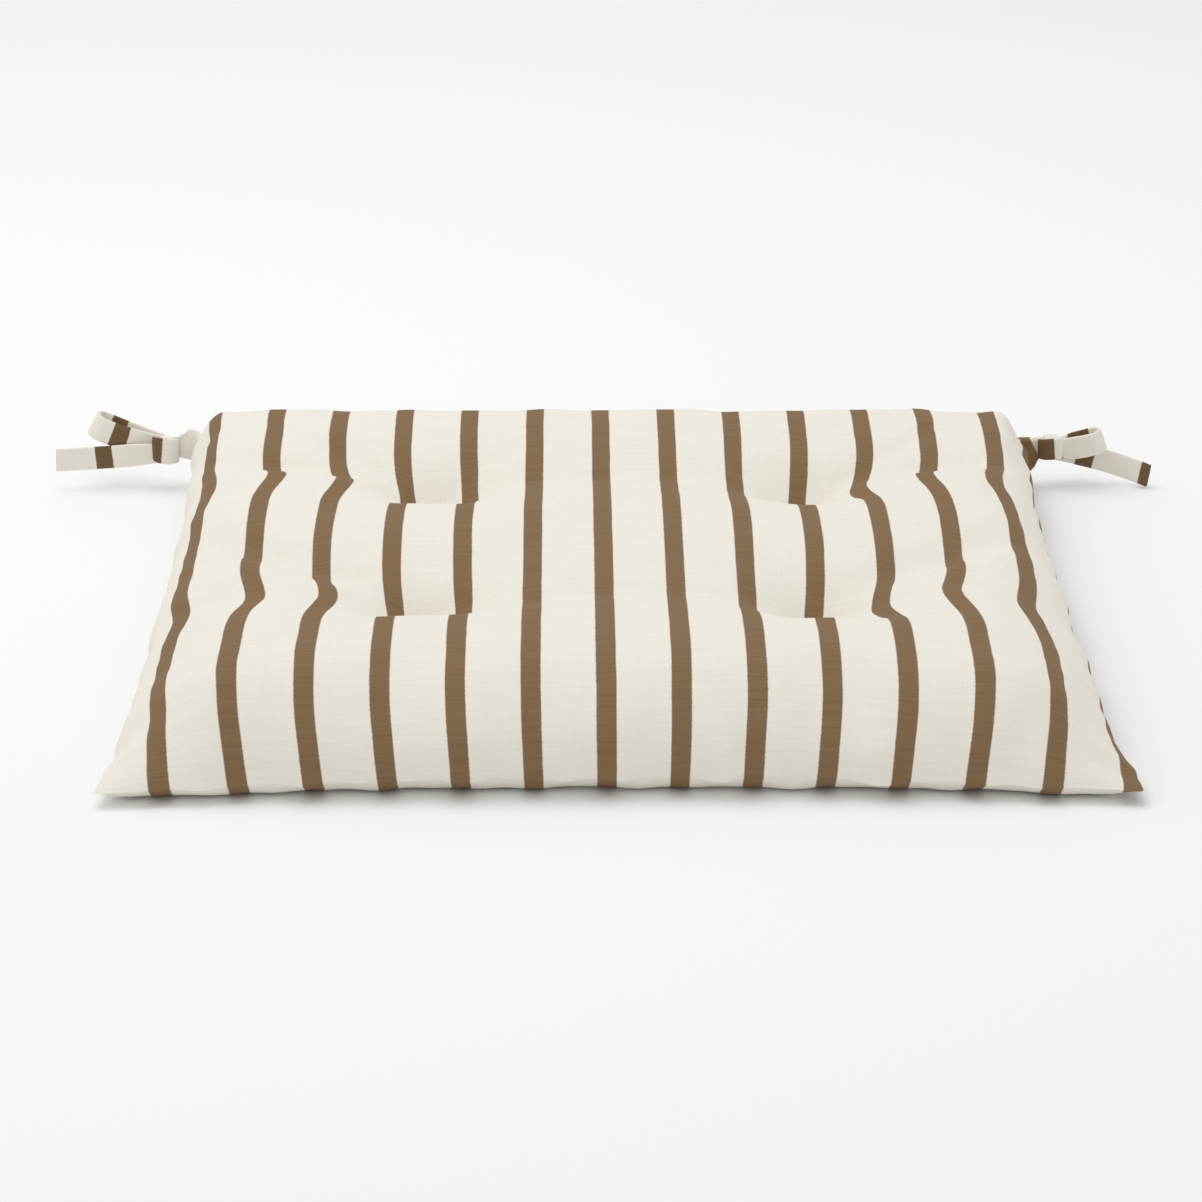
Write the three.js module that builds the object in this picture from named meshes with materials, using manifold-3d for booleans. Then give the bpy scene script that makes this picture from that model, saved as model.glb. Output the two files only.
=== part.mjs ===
// A square, tufted chair seat pad with two knotted corner ties.
// Millimetres, +Z up. X runs across the pad, -Y is its front edge, and the ties are at the back corners.
// The origin is the middle of the underside, on the surface that the pad lies on.

import * as THREE from "three";
import { ParametricGeometry } from "three/addons/geometries/ParametricGeometry.js";
import { mergeGeometries, mergeVertices } from "three/addons/utils/BufferGeometryUtils.js";
import Module from "manifold-3d";

// Outline of the sewn and filled cover, from the middle out to the corners and to the middle of each side.
const FRONT_HALF_WIDTH = 223;
const BACK_HALF_WIDTH = 214;
const FRONT_REACH = 221;
const BACK_REACH = 215;
const SIDE_WAIST = 8;
const WAIST_POWER = 2.6;

// Heights above the surface that the pad lies on.
const FRONT_SEAM_HEIGHT = 10;
const BACK_SEAM_HEIGHT = 20;
const CREST_HEIGHT = 52;
const EDGE_ROUNDING_POWER = 3.5;
const UNDERSIDE_ROUNDING_POWER = 0.35;
const UNDERSIDE_FULLNESS = 1.25;

// Tufts: where the thread pulls the two panels together.
const TUFT_STEP = 0.3;
const TUFT_RADIUS = 60;
const TOP_DIMPLE = 24;
const UNDERSIDE_DIMPLE = 6;
const STITCH_HALF_LENGTH = 2.5;
const TUFT_THREAD_RADIUS = 0.5;
const TOP_BAR_CLEARANCE = 1.8;
const UNDERSIDE_BAR_CLEARANCE = 1.1;
const THREAD_SIDES = 8;

// Cloth, seam and the gaps that keep touching pieces apart.
const CLOTH_THICKNESS = 1;
const RIM_WIDTH = 1.2;
const GAP = 0.3;
const SEAM_INSET = 3;
const SEAM_CORNER_CUT = 3;
const SEAM_THREAD_RADIUS = 0.3;
const SEAM_THREAD_SIDES = 6;
const FILLING_EDGE_SHARE = 0.35;
const FILLING_CORNER_SHARE = 0.92;
const FILLING_EDGE_DROP = 0.7;

// Mesh density: steps along each side of a panel, closer together towards the seam.
const SIDE_STEPS = 20;
const EVEN_SHARE = 0.3;
const CLOSING_STEPS = 6;
const CLOSING_GAP_STEPS = 1;

// Ties: a folded strap of the cover's cloth, which stands on its edge.
const STRAP_WIDTH = 12;
const STRAP_THICKNESS = 2;
const TIE_DEPTH = 210;
const TIE_HEIGHT = 20;
const ROOT_INSIDE = 10;
const PIVOT_OUT = 4;
const KNOT_FROM_PIVOT = 2.5;
const KNOT_LENGTH = 8.5;
const KNOT_HEIGHT = 15;
const KNOT_DEPTH = 13;
const KNOT_BEVEL = 2.5;
const ARC_STEPS = 8;

const CREAM = 0xece8de;
const SHADED_CREAM = 0xd9d2c4;
const BROWN = 0x84694a;
const FIBRE_WHITE = 0xf4f3ef;
const THREAD_CREAM = 0xe4dccb;

const wasm = await Module();
wasm.setup();

const group = new THREE.Group();

function material(color, roughness = 0.95) {
  return new THREE.MeshStandardMaterial({ color, roughness, metalness: 0 });
}

function addMesh(name, geometry, color) {
  const mesh = new THREE.Mesh(geometry, material(color));
  mesh.name = name;
  group.add(mesh);
  return mesh;
}

// ---- Closed surfaces and cuts ----

function weld(geometries) {
  const bare = geometries.map((geometry) => {
    geometry.deleteAttribute("normal");
    geometry.deleteAttribute("uv");
    return geometry;
  });
  return mergeVertices(mergeGeometries(bare), 1e-4);
}

function toSolid(geometry) {
  const welded = weld([geometry.clone()]);
  const mesh = new wasm.Mesh({
    numProp: 3,
    vertProperties: welded.attributes.position.array,
    triVerts: new Uint32Array(welded.index.array),
  });
  return new wasm.Manifold(mesh);
}

function toGeometry(solid) {
  const mesh = solid.getMesh();
  const geometry = new THREE.BufferGeometry();
  geometry.setAttribute("position", new THREE.BufferAttribute(mesh.vertProperties, 3));
  geometry.setIndex(new THREE.BufferAttribute(mesh.triVerts, 1));
  geometry.computeVertexNormals();
  return geometry;
}

function cut(geometry, cutters) {
  let solid = toSolid(geometry);
  for (const cutter of cutters) {
    solid = solid.subtract(toSolid(cutter));
  }
  return toGeometry(solid);
}

function join(geometries) {
  let solid = toSolid(geometries[0]);
  for (const geometry of geometries.slice(1)) {
    solid = solid.add(toSolid(geometry));
  }
  return toGeometry(solid);
}

// ---- The pad's shape ----

// Panel coordinates u and v run from -1 to 1 between the seams. A step from -1 to 1 becomes one of them.
function panelCoordinate(step) {
  return EVEN_SHARE * step + (1 - EVEN_SHARE) * Math.sin((Math.PI / 2) * step);
}

function planPoint(u, v) {
  const halfWidth = THREE.MathUtils.lerp(FRONT_HALF_WIDTH, BACK_HALF_WIDTH, (v + 1) / 2);
  const reach = THREE.MathUtils.lerp(FRONT_REACH, BACK_REACH, (v + 1) / 2);
  const sideWaist = SIDE_WAIST * (1 - Math.abs(v) ** WAIST_POWER);
  const endWaist = SIDE_WAIST * (1 - Math.abs(u) ** WAIST_POWER);
  return new THREE.Vector2(u * (halfWidth - sideWaist), v * (reach - endWaist));
}

function seamHeight(v) {
  return THREE.MathUtils.lerp(FRONT_SEAM_HEIGHT, BACK_SEAM_HEIGHT, (v + 1) / 2);
}

function rounding(u, v) {
  const across = 1 - Math.abs(u) ** EDGE_ROUNDING_POWER;
  const along = 1 - Math.abs(v) ** EDGE_ROUNDING_POWER;
  return Math.max(across, 0) * Math.max(along, 0);
}

const tuftCoordinate = panelCoordinate(TUFT_STEP);
const tufts = [];
for (const [end, v] of [["front", -tuftCoordinate], ["back", tuftCoordinate]]) {
  for (const [side, u] of [["left", -tuftCoordinate], ["right", tuftCoordinate]]) {
    tufts.push({ name: `${end}_${side}`, at: planPoint(u, v), u, v });
  }
}

// 1 at a tuft, falling smoothly to 0 at the tuft's radius.
function dimple(point) {
  let deepest = 0;
  for (const tuft of tufts) {
    const share = Math.min(point.distanceTo(tuft.at) / TUFT_RADIUS, 1);
    deepest = Math.max(deepest, (1 + Math.cos(Math.PI * share)) / 2);
  }
  return deepest;
}

function topPoint(u, v) {
  const plan = planPoint(u, v);
  const seam = seamHeight(v);
  const rise = (CREST_HEIGHT - seam) * Math.sqrt(rounding(u, v));
  return new THREE.Vector3(plan.x, plan.y, seam + GAP / 2 + rise - TOP_DIMPLE * dimple(plan));
}

function undersidePoint(u, v) {
  const plan = planPoint(u, v);
  const seam = seamHeight(v) - GAP / 2;
  const drop = UNDERSIDE_FULLNESS * rounding(u, v) ** UNDERSIDE_ROUNDING_POWER;
  const height = Math.max(seam * (1 - drop), 0);
  return new THREE.Vector3(plan.x, plan.y, height + UNDERSIDE_DIMPLE * dimple(plan));
}

// The unit vector that points out of the pad, from the slopes of one of its two surfaces.
function outward(surface, u, v, sign) {
  const reach = 1e-3;
  const across = surface(Math.min(u + reach, 1), v).sub(surface(Math.max(u - reach, -1), v));
  const along = surface(u, Math.min(v + reach, 1)).sub(surface(u, Math.max(v - reach, -1)));
  return across.cross(along).normalize().multiplyScalar(sign);
}

function onSeam(u, v) {
  return Math.max(Math.abs(u), Math.abs(v)) > 1 - 1e-9;
}

function atCornerTip(u, v) {
  return Math.min(Math.abs(u), Math.abs(v)) > 1 - 1e-9;
}

// A point near the seam: inset from it towards the middle, and raised from its height.
function seamPoint(u, v, inset, raise) {
  const shrink = 1 - inset / BACK_HALF_WIDTH;
  const plan = planPoint(u * shrink, v * shrink);
  return new THREE.Vector3(plan.x, plan.y, seamHeight(v) + raise);
}

function insidePoint(surface, u, v, sign, depth) {
  if (onSeam(u, v)) {
    return seamPoint(u, v, RIM_WIDTH, (sign * GAP) / 2);
  }
  return surface(u, v).addScaledVector(outward(surface, u, v, sign), -depth);
}

// The next grid point in from a point on the seam.
function neighbour(coordinate) {
  const inner = panelCoordinate(1 - 2 / SIDE_STEPS);
  return THREE.MathUtils.clamp(coordinate, -inner, inner);
}

function fillingPoint(surface, u, v, sign) {
  if (!onSeam(u, v)) {
    return insidePoint(surface, u, v, sign, CLOTH_THICKNESS + GAP);
  }
  const rim = insidePoint(surface, u, v, sign, CLOTH_THICKNESS);
  const inner = insidePoint(surface, neighbour(u), neighbour(v), sign, CLOTH_THICKNESS);
  const point = rim.lerp(inner, atCornerTip(u, v) ? FILLING_CORNER_SHARE : FILLING_EDGE_SHARE);
  point.z -= sign * FILLING_EDGE_DROP;
  return point;
}

// One surface over the whole panel. It faces up, or down when it is flipped.
function panelSheet(pointAt, flipped = false) {
  const place = (s, t, target) => {
    const first = panelCoordinate(2 * s - 1);
    const second = panelCoordinate(2 * t - 1);
    target.copy(flipped ? pointAt(second, first) : pointAt(first, second));
  };
  return new ParametricGeometry(place, SIDE_STEPS, SIDE_STEPS);
}

// Walks round the seam, counter-clockwise from the front left corner, as share goes from 0 to 1.
function seamCoordinates(share) {
  const travelled = (Math.round(share * 4 * SIDE_STEPS * 1e6) / 1e6 / SIDE_STEPS) % 4;
  const side = Math.floor(travelled);
  const along = panelCoordinate(2 * (travelled - side) - 1);
  const corners = [[along, -1], [1, along], [-along, 1], [-1, -along]];
  return corners[side];
}

// A band right round the seam between two edges, given as functions of u and v.
function seamBand(fromEdge, toEdge) {
  const place = (s, t, target) => {
    const [u, v] = seamCoordinates(s);
    target.copy(t < 0.5 ? fromEdge(u, v) : toEdge(u, v));
  };
  return new ParametricGeometry(place, 4 * SIDE_STEPS, 1);
}

// ---- Cover panels and filling ----

function coverPanel(surface, sign) {
  const isTop = sign > 0;
  const inside = (u, v) => insidePoint(surface, u, v, sign, CLOTH_THICKNESS);
  const rim = isTop ? seamBand(inside, surface) : seamBand(surface, inside);
  return weld([panelSheet(surface, !isTop), panelSheet(inside, isTop), rim]);
}

function fillingBody() {
  const upper = (u, v) => fillingPoint(topPoint, u, v, 1);
  const lower = (u, v) => fillingPoint(undersidePoint, u, v, -1);
  return weld([panelSheet(upper), panelSheet(lower, true), seamBand(lower, upper)]);
}

// ---- Threads ----

function uprightCylinder(radius, from, to, x, y) {
  const cylinder = new THREE.CylinderGeometry(radius, radius, to - from, THREAD_SIDES);
  return cylinder.rotateX(Math.PI / 2).translate(x, y, (from + to) / 2);
}

function levelCylinder(radius, length, x, y, z) {
  const cylinder = new THREE.CylinderGeometry(radius, radius, length, THREAD_SIDES);
  return cylinder.rotateZ(Math.PI / 2).translate(x, y, z);
}

function tuftHeights(tuft) {
  return {
    top: topPoint(tuft.u, tuft.v).z + TOP_BAR_CLEARANCE,
    bottom: undersidePoint(tuft.u, tuft.v).z - UNDERSIDE_BAR_CLEARANCE,
  };
}

function tuftLegs(tuft, radius, extra) {
  const { top, bottom } = tuftHeights(tuft);
  return [-STITCH_HALF_LENGTH, STITCH_HALF_LENGTH].map((shift) =>
    uprightCylinder(radius, bottom - extra, top + extra, tuft.at.x + shift, tuft.at.y),
  );
}

// One loop of thread: two legs through the pad, a short stitch on top and one underneath.
function tuftThread(tuft) {
  const { top, bottom } = tuftHeights(tuft);
  const barLength = 2 * STITCH_HALF_LENGTH + TUFT_THREAD_RADIUS;
  const bars = [top, bottom].map((height) =>
    levelCylinder(TUFT_THREAD_RADIUS, barLength, tuft.at.x, tuft.at.y, height),
  );
  return join([...tuftLegs(tuft, TUFT_THREAD_RADIUS, 0), ...bars]);
}

// A thread along part of the seam, from one grid step to another, with flat ends. It rounds the corners.
function seamThread(fromStep, toStep, radius) {
  const steps = toStep - fromStep;
  const onThread = (step, angle, distance) => {
    const [u, v] = seamCoordinates((step % (4 * SIDE_STEPS)) / (4 * SIDE_STEPS));
    const inset = SEAM_INSET + (atCornerTip(u, v) ? SEAM_CORNER_CUT : 0);
    return seamPoint(u, v, inset + distance * Math.cos(angle), -distance * Math.sin(angle));
  };
  const wall = (s, t, target) =>
    target.copy(onThread(fromStep + Math.round(s * steps), 2 * Math.PI * t, radius));
  const endCap = (step, turn) => (s, t, target) =>
    target.copy(onThread(step, turn * 2 * Math.PI * s, radius * t));
  return weld([
    new ParametricGeometry(wall, steps, SEAM_THREAD_SIDES),
    new ParametricGeometry(endCap(fromStep, -1), SEAM_THREAD_SIDES, 1),
    new ParametricGeometry(endCap(toStep, 1), SEAM_THREAD_SIDES, 1),
  ]);
}

// ---- Ties ----

// A strap or loop seen from its edge, in a plane with X out from the knot, raised to the strap's width.
function standingStrap(shape) {
  const geometry = new THREE.ExtrudeGeometry(shape, {
    depth: STRAP_WIDTH,
    bevelEnabled: false,
    curveSegments: ARC_STEPS,
  });
  return geometry.translate(0, 0, -STRAP_WIDTH / 2);
}

// A gently bowed strap: bow is how far its middle stands off the straight line.
function tailShape(length, bow) {
  const half = STRAP_THICKNESS / 2;
  const shape = new THREE.Shape();
  shape.moveTo(0, -half);
  shape.quadraticCurveTo(length / 2, 2 * bow - half, length, -half);
  shape.lineTo(length, half);
  shape.quadraticCurveTo(length / 2, 2 * bow + half, 0, half);
  shape.closePath();
  return shape;
}

function loopOutline(path, start, neck, length, radius) {
  const centre = length - radius;
  path.moveTo(start, -neck);
  path.quadraticCurveTo(length / 2, -radius, centre, -radius);
  path.absarc(centre, 0, radius, -Math.PI / 2, Math.PI / 2, false);
  path.quadraticCurveTo(length / 2, radius, start, neck);
  path.closePath();
  return path;
}

function loopShape(length, radius) {
  const neck = STRAP_THICKNESS + 0.4;
  const shape = loopOutline(new THREE.Shape(), 0, neck, length, radius);
  const inner = loopOutline(
    new THREE.Path(),
    STRAP_THICKNESS,
    neck - STRAP_THICKNESS,
    length - STRAP_THICKNESS,
    radius - STRAP_THICKNESS,
  );
  shape.holes.push(inner);
  return shape;
}

function knotGeometry() {
  const halfHeight = KNOT_HEIGHT / 2 - KNOT_BEVEL;
  const halfDepth = KNOT_DEPTH / 2 - KNOT_BEVEL;
  const shape = new THREE.Shape();
  shape.moveTo(-halfHeight, -halfDepth);
  shape.lineTo(halfHeight, -halfDepth);
  shape.lineTo(halfHeight, halfDepth);
  shape.lineTo(-halfHeight, halfDepth);
  shape.closePath();
  const geometry = new THREE.ExtrudeGeometry(shape, {
    depth: KNOT_LENGTH - 2 * KNOT_BEVEL,
    bevelSize: KNOT_BEVEL,
    bevelThickness: KNOT_BEVEL,
    bevelSegments: 3,
  });
  return geometry.translate(0, 0, KNOT_BEVEL).rotateY(Math.PI / 2);
}

// The root lies flat in the seam: it starts inside the corner and ends just short of the knot.
function rootGeometry(grow) {
  const length = ROOT_INSIDE + PIVOT_OUT;
  const box = new THREE.BoxGeometry(
    length + 2 * grow,
    STRAP_WIDTH + 2 * grow,
    STRAP_THICKNESS + 2 * grow,
  );
  return box.translate(length / 2 - ROOT_INSIDE, 0, 0);
}

// Places a piece that is drawn pointing along +X at one of the back corners.
function atCorner(mesh, outwardSign, out, shift, height, turn, rise) {
  mesh.position.set(outwardSign * (BACK_HALF_WIDTH + out), TIE_DEPTH + shift, height);
  mesh.rotation.order = "ZYX";
  mesh.rotation.z = outwardSign > 0 ? turn : Math.PI - turn;
  mesh.rotation.y = -rise;
  return mesh;
}

const ties = [
  {
    name: "left",
    sign: -1,
    tail: { length: 51.5, bow: -0.8, shift: -3.4, height: 17.5, turn: -0.03, rise: -0.07 },
    loop: { length: 35.5, radius: 6, shift: 3.2, height: 23, turn: 0.04, rise: 0.27 },
  },
  {
    name: "right",
    sign: 1,
    tail: { length: 48, bow: 0.8, shift: 5.2, height: 15.2, turn: -0.12, rise: -0.14 },
    loop: { length: 23.5, radius: 5.5, shift: -3.4, height: 20.5, turn: -0.03, rise: 0.2 },
  },
];

function placedRoot(tie, grow) {
  const mesh = new THREE.Mesh(rootGeometry(grow));
  atCorner(mesh, tie.sign, 0, 0, TIE_HEIGHT, 0, 0);
  mesh.updateMatrixWorld();
  return mesh.geometry.applyMatrix4(mesh.matrixWorld);
}

// The seam's thread is sewn through the root.
function addRoot(tie, threadHole) {
  const root = cut(placedRoot(tie, 0), [threadHole]);
  addMesh(`${tie.name}_tie_root`, root, SHADED_CREAM);
}

function addTie(tie) {
  const exit = PIVOT_OUT + KNOT_FROM_PIVOT + KNOT_LENGTH + GAP;
  const knot = addMesh(`${tie.name}_tie_knot`, knotGeometry(), BROWN);
  atCorner(knot, tie.sign, PIVOT_OUT + KNOT_FROM_PIVOT, 0, TIE_HEIGHT, 0, 0);
  const loopGeometry = standingStrap(loopShape(tie.loop.length, tie.loop.radius));
  const loop = addMesh(`${tie.name}_tie_loop`, loopGeometry, CREAM);
  const loopOut = exit + Math.abs(Math.sin(tie.loop.rise)) * (STRAP_WIDTH / 2);
  atCorner(loop, tie.sign, loopOut, tie.loop.shift, tie.loop.height, tie.loop.turn, tie.loop.rise);
  const tailGeometry = standingStrap(tailShape(tie.tail.length, tie.tail.bow));
  const tail = addMesh(`${tie.name}_tie_tail`, tailGeometry, CREAM);
  const tailOut = exit + Math.abs(Math.sin(tie.tail.rise)) * (STRAP_WIDTH / 2);
  atCorner(tail, tie.sign, tailOut, tie.tail.shift, tie.tail.height, tie.tail.turn, tie.tail.rise);
}

// ---- Assembly ----

const tuftHoles = tufts.flatMap((tuft) => tuftLegs(tuft, TUFT_THREAD_RADIUS + GAP, 3));
const rootSlots = ties.map((tie) => placedRoot(tie, GAP));
const cutters = [...tuftHoles, ...rootSlots];

// The closing stitches lie in the middle of the back edge, and the seam's thread runs round the rest.
const backMiddle = 2.5 * SIDE_STEPS;
const closingStart = backMiddle - CLOSING_STEPS / 2;
const closingEnd = backMiddle + CLOSING_STEPS / 2;
const seamStart = closingEnd + CLOSING_GAP_STEPS;
const seamEnd = closingStart - CLOSING_GAP_STEPS + 4 * SIDE_STEPS;
const closingThread = seamThread(closingStart, closingEnd, SEAM_THREAD_RADIUS);
const perimeterThread = seamThread(seamStart, seamEnd, SEAM_THREAD_RADIUS);
const threadHole = seamThread(seamStart, seamEnd, SEAM_THREAD_RADIUS + GAP);

addMesh("top_panel", cut(coverPanel(topPoint, 1), cutters), CREAM);
addMesh("bottom_panel", cut(coverPanel(undersidePoint, -1), cutters), CREAM);
addMesh("fibre_filling", cut(fillingBody(), [...cutters, threadHole]), FIBRE_WHITE);
addMesh("closing_seam_thread", closingThread, THREAD_CREAM);
addMesh("perimeter_seam_thread", perimeterThread, THREAD_CREAM);

for (const tuft of tufts) {
  addMesh(`tuft_thread_${tuft.name}`, tuftThread(tuft), THREAD_CREAM);
}
for (const tie of ties) {
  addRoot(tie, threadHole);
  addTie(tie);
}

export default group;
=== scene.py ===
"""Looks of a striped, tufted chair seat pad with knotted corner ties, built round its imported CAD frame.

Metres, +Z up. X runs across the pad, -Y is its front edge, and the ties are at the back corners.
Panel coordinates u (across) and v (front to back) run from -1 to 1 between the cover's seams.
"""

import math
from collections import namedtuple

import bpy
import numpy as np
from mathutils import Matrix, Vector


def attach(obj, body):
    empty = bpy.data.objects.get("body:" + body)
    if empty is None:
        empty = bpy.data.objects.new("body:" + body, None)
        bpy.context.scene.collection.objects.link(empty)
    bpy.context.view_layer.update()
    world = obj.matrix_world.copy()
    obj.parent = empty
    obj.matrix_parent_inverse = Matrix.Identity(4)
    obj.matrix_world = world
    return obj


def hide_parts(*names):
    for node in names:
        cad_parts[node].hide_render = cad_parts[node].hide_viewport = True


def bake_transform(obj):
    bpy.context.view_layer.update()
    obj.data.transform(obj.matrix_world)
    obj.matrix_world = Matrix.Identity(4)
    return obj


# ---- Camera: a long lens, 20 degrees above the seat ----
VIEW_DOWN = math.radians(20)
VIEW_TURN = math.radians(0.43)
CAMERA_DISTANCE = 2.2
# The camera aims at a point this far to the left of the pad's origin and above it in the picture.
AIM_LEFT = 0.0057
AIM_UP = 0.0122
LENS_MM = 140.8
SENSOR_MM = 36
CAMERA_FAR = 20

# ---- Cover outline, sewn and filled: half widths, and reaches from the middle to the front and back ----
FRONT_HALF_WIDTH = 0.2235
BACK_HALF_WIDTH = 0.2135
FRONT_REACH = 0.2205
BACK_REACH = 0.2148
SIDE_WAIST = 0.006
END_WAIST = 0.008
WAIST_POWER = 2.6
# The front seam draws its cloth towards the middle. The reach is in panel coordinates.
FRONT_GATHER = 0.0075
FRONT_GATHER_REACH = 0.11
FRONT_GATHER_POWER = 6

# ---- Cover heights ----
# An angle is the cloth's slope where it leaves the seam, and a lower power keeps it steep for longer.
FRONT_SEAM_HEIGHT = 0.006
BACK_SEAM_HEIGHT = 0.018
SEAM_RISE_POWER = 1.5
FRONT_CREST_HEIGHT = 0.0505
BACK_CREST_HEIGHT = 0.0455
CROWN_DROP = 0.005
CROWN_POWER = 2.5
EDGE_ANGLE = math.radians(76)
EDGE_POWER = 0.55
BOXY_ANGLE = math.radians(86)
BOXY_POWER = 0.22
BOXY_FROM = 0.1
BOXY_SPAN = 0.7
UNDERSIDE_ANGLE = math.radians(50)
UNDERSIDE_POWER = 0.8

# ---- Flat cloth ----
FLAT_HALF_WIDTH = 0.2250
FLAT_HALF_DEPTH = 0.2380
STRIPE_PITCH = 0.03237
# Shares of the pitch: where the repeat starts at the left seam, half a stripe, and its edge's unevenness.
FIRST_STRIPE = 0.2
STRIPE_HALF_SHARE = 0.134
STRIPE_BLUR = 0.008
STRIPE_FRAY = 0.02
STRIPE_WANDER = 0.02
CLOTH_ROUGHNESS = 0.92
CLOTH_SPECULAR = 0.15
CLOTH_SHEEN = 0.03
TIE_BROWN_LIGHTNESS = 0.74
# The corner cloth's brown is the cover's own brown made 15 percent lighter: painted light on the corner's
# lit front.
CORNER_BROWN_PAINTED_LIGHT = 1.15
CREAM_LOW = (0.840, 0.800, 0.715)
CREAM_HIGH = (0.870, 0.835, 0.755)
BROWN_LOW = (0.210, 0.130, 0.065)
BROWN_HIGH = (0.252, 0.160, 0.083)

# ---- Tufts and the grooves between them ----
TUFT_LEFT = -0.39
TUFT_RIGHT = 0.42
TUFT_FRONT = -0.35
TUFT_BACK = 0.37
TUFT_DEPTH = 0.027
TUFT_STRETCH = 1.15
GROOVE_DEPTH = 0.0070
GROOVE_MIDDLE_DEPTH = 0.005
GROOVE_REACH = 0.030
# Share of a tuft's pull that shifts the cloth. The rest gathers into small creases.
GATHER_SHARE = 0.75
GATHER_BLUR = 0.011
SIDE_FIT_POWER = 9
END_FIT_POWER = 4
STEEPEST_SHARE = 0.3
DIP_ANGLE = math.radians(62)
DIP_POWER = 0.8
DIP_BLEND = 3
# Each row's groove bends towards the back outside its tufts: how far at the side, and how early.
ROWS = ((TUFT_FRONT, 0.50, 1.0), (TUFT_BACK, 0.15, 0.5))
TUFTS = {
    "front_left": (TUFT_LEFT, TUFT_FRONT),
    "front_right": (TUFT_RIGHT, TUFT_FRONT),
    "back_left": (TUFT_LEFT, TUFT_BACK),
    "back_right": (TUFT_RIGHT, TUFT_BACK),
}
UNDERSIDE_TUFT_DEPTH = 0.006
UNDERSIDE_TUFT_REACH = 0.035

# ---- Simulation ----
# Points along each side of a panel. It is odd, so that one is at the middle.
GRID = 81
FRAMES = 14
MOVE_CAP = 0.010
SOFT_HOLD = 0.02
FULLNESS = 1.02
HELD_TUFT_RADIUS = 0.004
RESTING_SHARE = 0.74

# ---- Small folds and lumps, added after the simulation ----
SEED = 7
SEAM_FOLD_HEIGHT = 0.0026
SEAM_FOLD_REACH = 0.034
SEAM_FOLD_POWER = 1.5
SEAM_FOLD_LENGTHS = (0.023, 0.037, 0.061)
SIDE_FOLD_SHARE = 0.5
UNDERSIDE_FOLD_SHARE = 0.5
LYING_HEIGHT = 0.0005
CORNER_CALM = 0.05
PHASE_LIMIT = 6.28
TUFT_FOLD_HEIGHT = 0.0007
TUFT_FOLD_REACH = 0.013
TUFT_FOLDS = 6
LUMP_HEIGHT = 0.0006
LUMP_WAVES = 7
LUMP_LENGTHS = (0.045, 0.120)

# ---- Seam, filling and threads ----
SEAM_TUCK = 0.0008
FILLING_GAP = 0.0018
TUFT_STITCH = 0.005
TUFT_THREAD_RADIUS = 0.0004
TUFT_KNOT_RADIUS = 0.0011
TUFT_KNOT_TURNS = 1.6
SEAM_THREAD_RADIUS = 0.0003
SEAM_THREAD_SIDES = 6
SEAM_THREAD_INSET = 0.003
STITCH_LENGTH = 0.003
CLOSING_LENGTH = 0.172
CLOSING_STITCH = 0.005
CLOSING_PROUD = 0.0002
CLOSING_INSET = 0.0012
# A closing stitch: half its slant along the seam, its bow outwards, and half its height.
CLOSING_BAR = (0.0006, 0.0007, 0.0016)

# ---- Ties: a folded strap that stands on its edge ----
STRAP_WIDTH = 0.012
STRAP_THICKNESS = 0.002
STRAP_SIDES = 20
TIE_DEPTH = 0.210
KNOT_START = 0.2208
KNOT_END = 0.2292
KNOT_MIDDLE = (KNOT_START + KNOT_END) / 2

ROOT_START = 0.2010
ROOT_END = KNOT_START + 0.003
ROOT_NARROW_FROM_KNOT = 0.002
ROOT_HALF_THICKNESS = 0.0013
ROOT_FOLD = 0.0008
ROOT_CORNER_INSET = 0.004
ROOT_CORNER_LENGTH = 0.011
ROOT_CORNER_SHARE = 0.45

WRAP_TURNS = 1.15
WRAP_HALF_DEPTH = 0.0042
WRAP_HALF_HEIGHT = 0.0046
WRAP_HALF_WIDTH = 0.0036
WRAP_HALF_THICKNESS = 0.0009
WRAP_SWELL = 0.12
WRAP_SLIDE = 0.0016
WRAP_SWAY = 0.0006
WRAP_FIRST_DISTANCE = 0.0065
CROSSING_OUT = 0.0036
CROSSING_BULGE = 0.0030
CROSSING_TILT = 0.0006

TAIL_START_SHARE = -0.02
TAIL_SIDE_RIPPLE = 0.0005
TAIL_LIFT_RIPPLE = 0.0004
LOOP_IN_KNOT = 0.002

# ---- Studio ----
WORLD_LIGHT = 0.75
SOFTBOX_PLACE = (-0.5, 0.35, 2.0)
SOFTBOX_SIZE = 1.6
SOFTBOX_POWER = 15
FLOOR_HALF_SIZE = 6
FLOOR_DROP = 0.0005

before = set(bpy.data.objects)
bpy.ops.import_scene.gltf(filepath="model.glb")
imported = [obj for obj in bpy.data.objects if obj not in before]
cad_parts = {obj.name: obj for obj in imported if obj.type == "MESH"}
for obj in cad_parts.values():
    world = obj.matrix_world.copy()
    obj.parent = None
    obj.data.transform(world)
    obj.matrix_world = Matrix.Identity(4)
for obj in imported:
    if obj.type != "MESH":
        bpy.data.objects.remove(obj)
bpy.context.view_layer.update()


# ---------------------------------------------------------------- camera

def add_camera():
    down, turn = VIEW_DOWN, VIEW_TURN
    forward = Vector((math.sin(turn) * math.cos(down), math.cos(turn) * math.cos(down), -math.sin(down)))
    right = Vector((math.cos(turn), -math.sin(turn), 0))
    up = right.cross(forward)
    place = up * AIM_UP - right * AIM_LEFT - forward * CAMERA_DISTANCE
    data = bpy.data.cameras.new("photo_camera")
    data.sensor_width = SENSOR_MM
    data.lens = LENS_MM
    data.clip_end = CAMERA_FAR
    camera = bpy.data.objects.new("photo_camera", data)
    bpy.context.scene.collection.objects.link(camera)
    rotation = Matrix((right, up, -forward)).transposed().to_4x4()
    camera.matrix_world = Matrix.Translation(place) @ rotation
    bpy.context.scene.camera = camera


# ---------------------------------------------------------------- node helpers

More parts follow.
